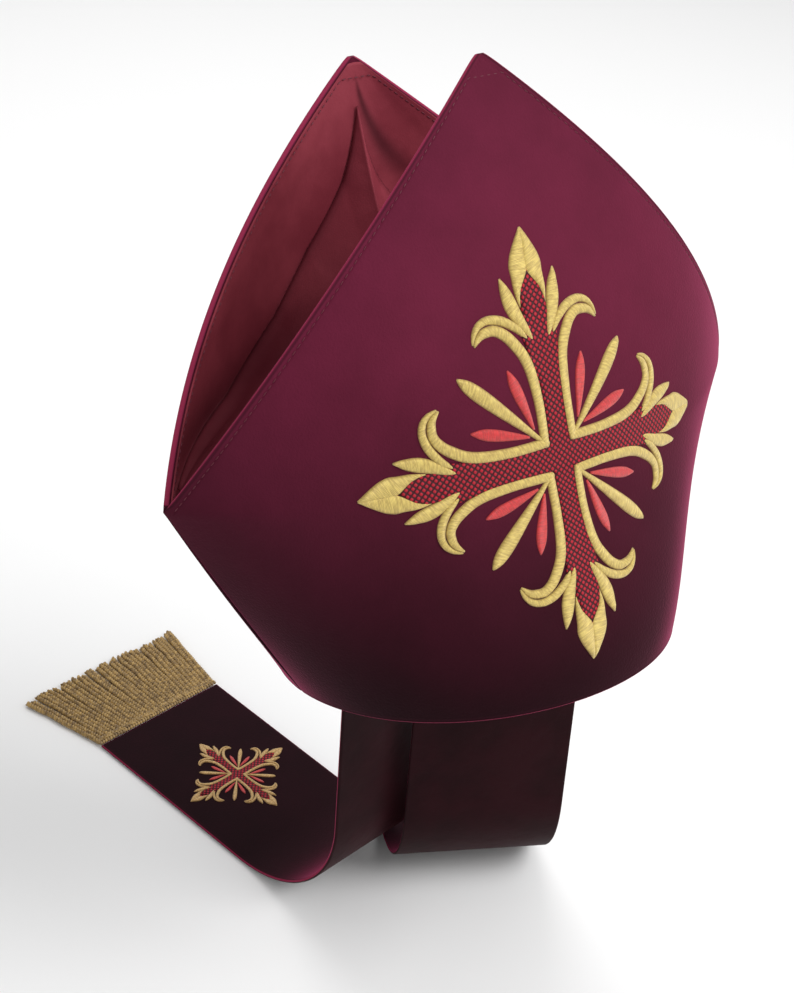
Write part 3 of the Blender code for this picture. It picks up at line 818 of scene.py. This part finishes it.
# %% Chart of half an arm: along, across and width, in hundredths of the arm
STRAND = (
    (6.2, 7.6, 3.0), (9.0, 7.9, 4.5), (16.0, 7.8, 4.9), (27.0, 7.8, 5.0), (40.0, 8.8, 5.4),
    (48.0, 10.7, 5.5), (54.0, 14.0, 5.5), (58.8, 17.9, 5.2), (61.7, 22.9, 4.7),
    (61.2, 28.7, 4.1), (59.2, 31.6, 2.7), (56.8, 33.7, 0.9),
)
OUTER_STRAND = (
    (55.2, 7.0, 1.0), (57.8, 9.0, 2.8), (60.9, 11.9, 3.9), (64.8, 18.0, 4.3), (66.3, 24.6, 3.8),
    (64.8, 29.8, 3.2), (61.2, 33.0, 2.2), (57.6, 34.3, 0.8),
)
SIDE_LEAF = (
    (54.0, 4.3, 0.8), (58.0, 6.1, 3.4), (62.0, 8.2, 5.4), (66.5, 10.3, 6.7), (71.0, 11.8, 7.0),
    (75.5, 12.9, 5.6), (79.0, 13.9, 3.2), (81.8, 14.6, 0.8),
)
FLAME = (
    (68.3, 6.7, 0.8), (72.0, 7.0, 2.0), (76.3, 6.5, 4.2), (80.0, 5.3, 6.8), (84.0, 4.1, 9.6),
    (88.4, 3.4, 8.6), (94.0, 1.9, 5.4), (98.6, 0.6, 2.2), (100.6, 0.2, 0.6),
)
GOLD_RAY = (
    (10.5, 0.0, 1.6), (20.0, 0.0, 3.0), (32.0, 0.0, 5.0), (44.0, 0.0, 6.6), (52.0, 0.0, 7.0),
    (58.0, 0.0, 6.0), (62.0, 0.0, 3.4), (64.2, 0.0, 0.8),
)
CORAL_RAY = (
    (0.0, 0.0, 1.2), (9.0, 0.0, 4.0), (17.0, 0.0, 5.6), (23.0, 0.0, 5.4), (27.0, 0.0, 3.2),
    (29.8, 0.0, 0.8),
)
CORAL_FOOT = (12.6, 15.5)
CORAL_LEAN = math.radians(15.6)
FILL = (
    (6.2, 6.2), (16.0, 5.6), (27.0, 5.6), (39.0, 6.4), (50.0, 8.4), (57.2, 9.6), (60.0, 6.6),
    (68.0, 6.7), (72.5, 6.6), (77.3, 4.6), (83.0, 0.0),
)

# %% Band sweep
def through(rows, step):
    """A smooth line through the chart's rows, cut at about this step."""
    rows = np.array(rows, float)
    padded = np.concatenate([2 * rows[:1] - rows[1:2], rows, 2 * rows[-1:] - rows[-2:-1]])
    out = []
    for a, b, c, d in zip(padded, padded[1:], padded[2:], padded[3:]):
        count = max(2, int(np.linalg.norm(c[:2] - b[:2]) / step))
        for t in np.arange(count) / count:
            square, cube = 2 * a - 5 * b + 4 * c - d, 3 * b - 3 * c + d - a
            out.append(0.5 * (2 * b + (c - a) * t + square * t**2 + cube * t**3))
    out.append(rows[-1])
    return np.array(out)


DOME = np.array([-1, -0.92, -0.7, -0.38, 0, 0.38, 0.7, 0.92, 1])


def band(rows, arm, relief, place):
    """Top, under side and map of one padded band. place takes (along, across) to (right, up)."""
    line = through(rows, 1.3) * arm / 100
    spine, half = place(line[:, :2]), np.maximum(line[:, 2], 0.0) / 2
    tangent = unit(np.gradient(spine, axis=0))
    sideways = np.stack([-tangent[:, 1], tangent[:, 0]], -1)
    flat = spine[:, None] + sideways[:, None] * (half[:, None] * DOME)[..., None]
    dome = (1 - np.abs(DOME) ** 2.6)[None] ** 0.7
    rise = relief * np.minimum(1, half / (0.016 * arm))[:, None] * dome
    run = np.concatenate([[0], np.cumsum(np.linalg.norm(np.diff(spine, axis=0), axis=1))])
    uv = np.stack(np.broadcast_arrays(run[:, None], DOME[None]), -1)
    top = np.concatenate([flat, rise[..., None]], -1)
    under = np.concatenate([flat, np.full((*flat.shape[:2], 1), -STITCH_ROOT)], -1)
    return top, under, uv


def quarters():
    """Along and across each of the four arms."""
    for quarter in range(4):
        turn = quarter * math.pi / 2
        along = np.array([math.sin(turn), math.cos(turn)])
        yield along, np.array([along[1], -along[0]])


def half_arms(rows):
    """The eight placings of half an arm: four turns, and a mirror image of each."""
    for along, across in quarters():
        for side in (1, -1):
            yield rows, lambda p, a=along, c=across, s=side: p[:, :1] * a + p[:, 1:] * s * c


def rays(rows, angles, foot):
    """Rays of the quarters between the arms, each turned from the up direction about its foot."""
    for up, right in quarters():
        for angle, (fx, fy) in zip(angles, foot):
            start = fx * right + fy * up
            along = math.sin(angle) * right + math.cos(angle) * up
            across = np.array([along[1], -along[0]])
            yield rows, lambda p, o=start, a=along, c=across: o + p[:, :1] * a + p[:, 1:] * c


def stitched(name, forms, arm, relief, lay, finish):
    """One object from many bands, laid on the cloth by lay(right, up, height)."""
    points, faces, uvs, count = [], [], [], 0
    for rows, place in forms:
        top, under, uv = band(rows, arm, relief, place)
        flat = np.concatenate([top.reshape(-1, 3), under.reshape(-1, 3)])
        laid = lay(flat[:, 0], flat[:, 1], flat[:, 2])
        joined = shell_faces(*top.shape[:2])[0]
        if volume_sign(laid, joined) < 0:
            joined = joined[:, ::-1]
        points.append(laid)
        faces.append(joined + count)
        uvs.append(np.concatenate([uv.reshape(-1, 2)] * 2))
        count += len(laid)
    made = new_object(name, np.concatenate(points), np.concatenate(faces), finish, np.concatenate(uvs))
    print(f"{name}: {len(points)} bands, {len(made.data.polygons)} faces")
    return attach(made, "root")


# %% Filled ground
def filled(name, arm, relief, lay, finish, facet):
    """The red ground of the cross: its outline filled, cut into facets and raised."""
    corners = []
    for along, across in quarters():
        corners += [a * along - c * across for a, c in FILL]
        corners += [a * along + c * across for a, c in FILL[-2:0:-1]]
    loop = [Vector((x, y, 0)) for x, y in np.array(corners) * arm / 100]
    bm = bmesh.new()
    verts = [bm.verts.new(corner) for corner in loop]
    for triple in tessellate_polygon([loop]):
        bm.faces.new([verts[k] for k in triple])
    for axis in (Vector((1, 0, 0)), Vector((0, 1, 0))):
        for k in range(-int(arm / facet), int(arm / facet) + 1):
            everything, spot = bm.verts[:] + bm.edges[:] + bm.faces[:], axis * (k + 0.37) * facet
            bmesh.ops.bisect_plane(bm, geom=everything, dist=1e-6, plane_co=spot, plane_no=axis)
    for face in bm.faces:
        if face.normal.z < 0:
            face.normal_flip()
    bm.verts.index_update()
    flat = np.array([v.co[:2] for v in bm.verts])
    rings = [[v.index for v in face.verts] for face in bm.faces]
    edges = [edge.link_loops[0] for edge in bm.edges if edge.is_boundary]
    borders = [(one.vert.index, one.link_loop_next.vert.index) for one in edges]
    bm.free()
    n = len(flat)
    faces = rings + [[k + n for k in reversed(ring)] for ring in rings]
    faces += [(b, a, a + n, b + n) for a, b in borders]
    points = np.concatenate([lay(flat[:, 0], flat[:, 1], np.full(n, h)) for h in (relief, -STITCH_ROOT)])
    made = new_object(name, points, faces, finish, np.concatenate([flat, flat]))
    print(f"{name}: {len(faces)} faces")
    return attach(made, "root")


# %% The cross on the front leaf
low, high = (float(middle_depth(FRONT, CROSS_HEIGHT + step)) for step in (-0.002, 0.002))
slope = (high - low) / 0.004


def on_front_leaf(right, up, height):
    """The work drew the cloth in, so the upright arms bow sideways and the cross sits off middle."""
    share_up = up / CROSS_ARM
    right = right - CROSS_ARM * (CROSS_SHIFT + ARM_BOW * (share_up - share_up**3))
    level = CROSS_HEIGHT + up / math.hypot(1, slope) - CROSS_DROOP * (right / CROSS_ARM) ** 2
    share = right / section_length(FRONT, level)
    return worn(leaf_point(FRONT, level, share) + leaf_normal(FRONT, level, share) * height[:, None])


def cross_forms(arm):
    gold = [form for rows in (STRAND, OUTER_STRAND, SIDE_LEAF, FLAME) for form in half_arms(rows)]
    gold += list(rays(GOLD_RAY, [math.pi / 4], [(0, 0)]))
    foot = np.array(CORAL_FOOT) * arm / 100
    coral = list(rays(CORAL_RAY, [CORAL_LEAN, math.pi / 2 - CORAL_LEAN], [foot, foot[::-1]]))
    return gold, coral


gold_forms, coral_forms = cross_forms(CROSS_ARM)
front_gold = stitched(
    "front_cross_gold_stitches", gold_forms, CROSS_ARM, GOLD_PAD, on_front_leaf, GOLD
)
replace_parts(front_gold, "front_cross_gold")
front_coral = stitched(
    "front_cross_coral_stitches", coral_forms, CROSS_ARM, CORAL_PAD, on_front_leaf, CORAL
)
ray_nodes = [f"front_ray_{quarter}{hand}" for quarter in range(1, 5) for hand in "ab"]
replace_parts(front_coral, *ray_nodes)
front_fill = filled("front_cross_fill", CROSS_ARM, FILL_PAD, on_front_leaf, BASKET, FILL_FACET)
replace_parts(front_fill, "front_cross_red")

# %% [markdown]
# ## The lappets
#
# Two bands of lined velvet hang from the back of the rim, widen a little on the way down, and end
# in a fringe. Cloth that hangs under its own weight is plumb, so each one settles from the rim's
# curve into a flat drop, then bends back in a round of its own stiffness and lies flat. The surface
# takes a distance down the band, a distance right of its middle and a height, as the leaf does.


# %% Lappet surface
def floor_height():
    foot = worn(leaf_point(BACK, 0.0, LEFT.seat_share))[2]
    return foot - LAPPET_DROP - LEFT.bend_radius - LAPPET_WALL / 2


def lappet_point(lappet, distance, right, height):
    distance, right, height = np.broadcast_arrays(distance, right, height)
    stand_off = LAYER_GAP + LAPPET_WALL / 2 + lappet.layers_under * (LAPPET_WALL + LAYER_GAP)
    share = lappet.seat_share + right / float(section_length(BACK, 0.0))
    level = np.maximum(LAPPET_SEWN - distance, 0)
    below = np.maximum(distance - LAPPET_SEWN, 0)
    outwards = worn(leaf_normal(BACK, level, share))
    sewn = worn(leaf_point(BACK, level, share)) + outwards * (stand_off + height)[..., None]
    sewn[..., 2] -= below
    foot = worn(leaf_point(BACK, 0.0, lappet.seat_share))
    across = np.array([math.cos(lappet.turn), math.sin(lappet.turn), 0])
    backwards = np.array([-math.sin(lappet.turn), math.cos(lappet.turn), 0])
    radius = lappet.bend_radius
    drop = foot[2] - floor_height() - LAPPET_WALL / 2 - radius
    bend = np.clip((below - drop) / radius, 0, math.pi / 2)
    lying = np.maximum(below - drop - radius * math.pi / 2, 0)
    plumb = foot + backwards * stand_off + across * right[..., None]
    plumb[..., 2] -= np.minimum(below, drop) + (radius - height) * np.sin(bend)
    plumb = plumb + backwards * (radius - (radius - height) * np.cos(bend) + lying)[..., None]
    settled = smooth_step(below / LAPPET_SETTLES)[..., None]
    return sewn * (1 - settled) + plumb * settled


def lappet_width(distance):
    return mix(LAPPET_TOP_WIDTH, LAPPET_END_WIDTH, distance / LAPPET_LENGTH)


# %% Lappet mesh
def add_lappet(lappet):
    end = np.array([0, 0.2, 0.5, 0.9, 1.5, 2.2, 3.0]) / 1000
    between = np.linspace(0.005, LAPPET_LENGTH - 0.005, 150)
    distance = np.concatenate([end, between, LAPPET_LENGTH - end[::-1]])
    edge = np.concatenate([end, [0.0042, 0.006, 0.009]])
    rows = []
    for width in lappet_width(distance):
        inner = np.linspace(edge[-1], width - edge[-1], 27)[1:-1]
        rows.append(np.concatenate([edge, inner, width - edge[::-1]]) - width / 2)
    right = np.array(rows)
    down = np.repeat(distance[:, None], right.shape[1], 1)
    from_edge = np.minimum(lappet_width(down) / 2 - np.abs(right), np.minimum(down, LAPPET_LENGTH - down))
    half = fold_thickness(from_edge, LAPPET_WALL, LAPPET_FOLD_ROUND) / 2
    top, under = (lappet_point(lappet, down, right, side * half) for side in (1, -1))
    faced = [VELVET, SHADED_LAPPET_LINING]
    made = shell(f"lappet_{lappet.name}_velvet", top, under, faced, {"from_edge": from_edge})
    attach(made, "root")
    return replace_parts(made, f"lappet_{lappet.name}")


def add_lappet_cross(lappet):
    middle = LAPPET_LENGTH - LAPPET_CROSS_FROM_END

    def lay(right, up, height):
        return lappet_point(lappet, middle - up, right, height + LAPPET_WALL / 2)

    gold_forms, coral_forms = cross_forms(LAPPET_CROSS_ARM)
    name = f"lappet_{lappet.name}_cross"
    arm = LAPPET_CROSS_ARM
    gold = stitched(name + "_gold", gold_forms, arm, LAPPET_GOLD_PAD, lay, LAPPET_GOLD)
    coral = stitched(name + "_coral", coral_forms, arm, LAPPET_CORAL_PAD, lay, CORAL)
    fill = filled(name + "_fill", arm, LAPPET_FILL_PAD, lay, BASKET, LAPPET_FILL_FACET)
    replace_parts(gold, f"lappet_cross_{lappet.name}_gold")
    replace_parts(fill, f"lappet_cross_{lappet.name}_red")
    return [gold, coral, fill]


lappets = {lappet.name: add_lappet(lappet) for lappet in (LEFT, RIGHT)}
lappet_crosses = {lappet.name: add_lappet_cross(lappet) for lappet in (LEFT, RIGHT)}

# %% [markdown]
# ## The fringe
#
# A row of two-ply cords hangs from a narrow braid. Geometry Nodes makes one cord from two spirals,
# sets it at every spot along the header, and gives each copy its own length, twist and sway from a
# fixed seed. The cords are grown flat, and then laid on the lappet by the same formula as the cloth.


# %% Fringe tree
def fringe_tree():
    tree, given, out = group(
        "fringe", Cords="Int", Width="Float", Length="Float", Turns="Float", Thickness="Float",
        Splay="Float", Seed="Int", Thread="Material",
    )
    plies = node(tree, "GeometryNodeJoinGeometry")
    radius = times(tree, given["Thickness"], PLY_SHARE)
    circle = node(tree, "GeometryNodeCurvePrimitiveCircle", [("Resolution", 6), ("Radius", radius)])
    spiral = node(
        tree, "GeometryNodeCurveSpiral",
        [("Resolution", 9), ("Rotations", given["Turns"]), ("Start Radius", radius),
         ("End Radius", radius), ("Height", given["Length"])],
    )
    for angle in (0.0, math.pi):
        turned = node(
            tree, "GeometryNodeTransform", [("Geometry", spiral), ("Rotation", (0.0, 0.0, angle))]
        )
        ply = node(
            tree, "GeometryNodeCurveToMesh",
            [("Curve", turned), ("Profile Curve", circle), ("Fill Caps", True)],
        )
        tree.links.new(ply.outputs[0], plies.inputs[0])
    # The cord lies along -Y
    lying = node(
        tree, "GeometryNodeTransform", [("Geometry", plies), ("Rotation", (math.pi / 2, 0.0, 0.0))]
    )
    half = times(tree, given["Width"], 0.5)
    start = node(tree, "ShaderNodeCombineXYZ", [(0, times(tree, half, -1.0))])
    finish = node(tree, "ShaderNodeCombineXYZ", [(0, half)])
    line = node(
        tree, "GeometryNodeMeshLine",
        [("Count", given["Cords"]), ("Start Location", start), ("Offset", finish)], mode="END_POINTS",
    )
    index = node(tree, "GeometryNodeInputIndex").outputs[0]

    def random_value(low, high, offset):
        made = node(tree, "FunctionNodeRandomValue", [("ID", index)], data_type="FLOAT")
        made.inputs[2].default_value, made.inputs[3].default_value = low, high
        tree.links.new(plus(tree, given["Seed"], float(offset)), made.inputs["Seed"])
        return made.outputs[1]

    where = node(tree, "GeometryNodeInputPosition").outputs[0]
    side = node(tree, "ShaderNodeSeparateXYZ", [(0, where)]).outputs[0]
    share = math_node(tree, "DIVIDE", side, half)
    splay = times(tree, share, given["Splay"])
    swing = plus(tree, splay, random_value(-0.012, 0.012, 1))
    turn = node(tree, "ShaderNodeCombineXYZ", [(1, random_value(0.0, 6.28, 2)), (2, swing)])
    longer = random_value(0.98, 1.06, 3)
    size = node(tree, "ShaderNodeCombineXYZ", [(0, 1.0), (1, longer), (2, 1.0)])
    # A turn about the cord's own line comes first, and the swing sideways after it
    roll = node(tree, "FunctionNodeEulerToRotation", [(0, turn)])
    cords = node(
        tree, "GeometryNodeInstanceOnPoints",
        [("Points", line), ("Instance", lying), ("Rotation", roll), ("Scale", size)],
    )
    real = node(tree, "GeometryNodeRealizeInstances", [(0, cords)])
    wobble_at = node(tree, "GeometryNodeInputPosition").outputs[0]
    sockets = [("Vector", wobble_at), ("Scale", 55.0), ("Detail", 1.0)]
    wobble = node(tree, "ShaderNodeTexNoise", sockets).outputs["Color"]
    sockets = [(0, wobble), (1, (0.5, 0.5, 0.5))]
    drift = node(tree, "ShaderNodeVectorMath", sockets, operation="SUBTRACT")
    down = node(tree, "ShaderNodeSeparateXYZ", [(0, wobble_at)]).outputs[1]
    fall = times(tree, down, -CORD_WANDER)
    reach = node(tree, "ShaderNodeCombineXYZ", [(0, fall), (1, 0.0), (2, times(tree, fall, 0.25))])
    move = node(tree, "ShaderNodeVectorMath", [(0, drift), (1, reach)], operation="MULTIPLY")
    swayed = node(tree, "GeometryNodeSetPosition", [("Geometry", real), ("Offset", move)])
    done = node(
        tree, "GeometryNodeSetMaterial", [("Geometry", swayed), ("Material", given["Thread"])]
    )
    tree.links.new(done.outputs[0], out["Geometry"])
    return tree


FRINGE_TREE = fringe_tree()


# %% Fringe and braid
def laid_on(lappet, made, lift, below):
    """Moves a flat piece's points on to the lappet: X right, -Y down from its end, Z up."""
    flat = np.zeros(len(made.data.vertices) * 3, np.float32)
    made.data.vertices.foreach_get("co", flat)
    flat = flat.reshape(-1, 3).astype(float)
    distance = LAPPET_LENGTH + below - flat[:, 1]
    laid = lappet_point(lappet, distance, flat[:, 0], flat[:, 2] + lift)
    made.data.vertices.foreach_set("co", laid.astype(np.float32).ravel())
    made.data.update()


def add_fringe(lappet):
    name = f"fringe_{lappet.name}_cords"
    values = {
        "Cords": CORDS, "Width": LAPPET_END_WIDTH - 0.003, "Length": FRINGE_LENGTH,
        "Turns": FRINGE_LENGTH / CORD_TURN, "Thickness": CORD_THICK, "Splay": 0.20,
        "Seed": SEED + lappet.layers_under, "Thread": CORD,
    }
    base = line_object(name + "_base", np.zeros((1, 3)))
    made = grown(name, base, FRINGE_TREE, values)
    laid_on(lappet, made, CORD_LIFT, 0.5 * FRINGE_HEADER)
    print(f"{name}: {CORDS} cords, {len(made.data.polygons)} faces")
    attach(made, "root")
    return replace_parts(made, f"fringe_{lappet.name}")


def add_braid(lappet):
    """Three rows of slanted grains, side by side, as a narrow gimp braid looks."""
    half = LAPPET_END_WIDTH / 2
    points, faces, count = [], [], 0
    u, v = np.meshgrid(np.linspace(0, 2 * math.pi, 9)[:-1], np.linspace(0, math.pi, 7))
    grain = np.stack([np.sin(v) * np.cos(u), np.cos(v), np.sin(v) * np.sin(u)], -1)
    x, y, z = (grain.reshape(-1, 3) * np.array(BRAID_GRAIN)).T
    at = np.arange(len(x)).reshape(grain.shape[:2])
    after = np.roll(at, -1, 1)
    quads = np.stack([at[:-1], after[:-1], after[1:], at[1:]], -1).reshape(-1, 4)
    for row, slant in enumerate((0.6, -0.6, 0.6)):
        cos, sin = math.cos(slant), math.sin(slant)
        turned = np.stack([x * cos - y * sin, x * sin + y * cos, z], -1)
        for right in np.arange(-half + 0.001, half, BRAID_PITCH):
            points.append(turned + np.array([right, -0.0012 - BRAID_ROW * row, BRAID_LIFT]))
            faces.append(quads + count)
            count += len(turned)
    name = f"fringe_{lappet.name}_braid"
    made = new_object(name, np.concatenate(points), np.concatenate(faces), CORD)
    laid_on(lappet, made, 0.0, 0.0)
    print(f"braid: {len(points)} grains")
    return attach(made, "root")


fringes = {lappet.name: [add_fringe(lappet), add_braid(lappet)] for lappet in (LEFT, RIGHT)}

# %% [markdown]
# ## What each sheet is cut from
#
# The lappets, the linings and the gusset are cloth. For the linings and the gusset, the flat piece each
# one is cut from is worked out and printed: its widest, its length and its area.


# %% Sheets
def strips(width, middle):
    """A flat cut laid out in strips across a middle line: its widest, its length and its area."""
    run = np.linalg.norm(np.diff(middle, axis=0), axis=1)
    area = ((width[1:] + width[:-1]) / 2 * run).sum()
    return float(width.max()), float(run.sum()), float(area)


def lining_cut(leaf):
    levels = np.linspace(CORNER_HEIGHT - LINING_BELOW_CORNER, leaf.peak_height, 60)
    return strips(2 * section_length(leaf, levels), leaf_point(leaf, levels, 0.0))


def gusset_cut():
    along, across = np.meshgrid(np.linspace(-1, 1, 60), np.linspace(-1, 1, 60), indexing="ij")
    sling = np.linalg.norm(np.diff(gusset_middle(along, across), axis=1), axis=2).sum(1)
    return strips(sling, gusset_middle(along[:, 0], np.zeros(60)))


cuts = (lining_cut(FRONT), lining_cut(BACK), gusset_cut())
for cloth, (wide, long, area) in zip((front_lining, back_lining, gusset), cuts):
    print(f"{cloth.name}: cut {wide:.3f} by {long:.3f} m, {area:.4f} square metres")

# %% [markdown]
# ## Floor, light and camera
#
# A pale floor at the level that the lappets lie on, a large soft key from high on the camera's
# right, a weaker fill lower on the same side, and a third light behind. The camera is the
# photograph's, solved from the outline: its turn round the object, its height and a small roll.

# %% Floor and light
floor_mesh = bpy.data.meshes.new("floor")
lowest = float(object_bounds()[0].z) - 0.0002
corners = [(x, y, lowest) for x, y in ((-6, -6), (6, -6), (6, 6), (-6, 6))]
floor_mesh.from_pydata(corners, [], [(0, 1, 2, 3)])
floor_mesh.materials.append(plain_finish("pale_floor", colour(0.86, 0.86, 0.86), 0.9))
linked("floor", floor_mesh)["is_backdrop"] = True

world = bpy.data.worlds.new("studio")
bpy.context.scene.world = world
world.use_nodes = True
sky = world.node_tree.nodes["Background"].inputs
sky["Color"].default_value = colour(1.0, 1.0, 1.0)
sky["Strength"].default_value = 0.6


def soft_light(name, place, aim, size, power):
    data = bpy.data.lights.new(name, "AREA")
    data.size, data.energy = size, power
    lamp = linked(name, data)
    lamp.location = place
    lamp.rotation_euler = (Vector(aim) - Vector(place)).to_track_quat("-Z", "Y").to_euler()


soft_light("key", (0.7, -1.3, 1.9), (0, 0, 0.08), 1.2, 40)
soft_light("fill", (1.5, -1.2, 0.9), (0, 0, 0.08), 1.8, 9)
soft_light("rim", (0.6, 1.6, 1.5), (0, 0, 0.15), 1.4, 16)

# %% Camera
CAMERA_AZIMUTH = math.radians(-35.266)
CAMERA_ELEVATION = math.radians(33.056)
CAMERA_ROLL = math.radians(3.741)
CAMERA_DISTANCE = 0.8487
CAMERA_TARGET = Vector((-0.0194, 0.0424, 0.0552))
FOCAL_IN_WIDTHS = 1765.7 / 794

back = Vector((
    math.sin(CAMERA_AZIMUTH) * math.cos(CAMERA_ELEVATION),
    -math.cos(CAMERA_AZIMUTH) * math.cos(CAMERA_ELEVATION),
    math.sin(CAMERA_ELEVATION),
))
level_right = Vector((math.cos(CAMERA_AZIMUTH), math.sin(CAMERA_AZIMUTH), 0))
level_up = back.cross(level_right)
right = math.cos(CAMERA_ROLL) * level_right + math.sin(CAMERA_ROLL) * level_up
up = back.cross(right)
data = bpy.data.cameras.new("camera")
data.sensor_fit = "HORIZONTAL"
data.lens = FOCAL_IN_WIDTHS * data.sensor_width
data.clip_start, data.clip_end = 0.05, 40
camera = linked("camera", data)
place = [CAMERA_TARGET[k] + back[k] * CAMERA_DISTANCE for k in range(3)]
camera.matrix_world = Matrix([*zip(right, up, back, place), (0, 0, 0, 1)])
bpy.context.scene.camera = camera
bpy.context.scene.view_settings.view_transform = "Standard"

# %% Sizes before and after
low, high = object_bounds()
for side, grown_by in (("low", cad_low - low), ("high", high - cad_high)):
    print("grown by, in mm,", side + ":", [round(1000 * v, 1) for v in grown_by])
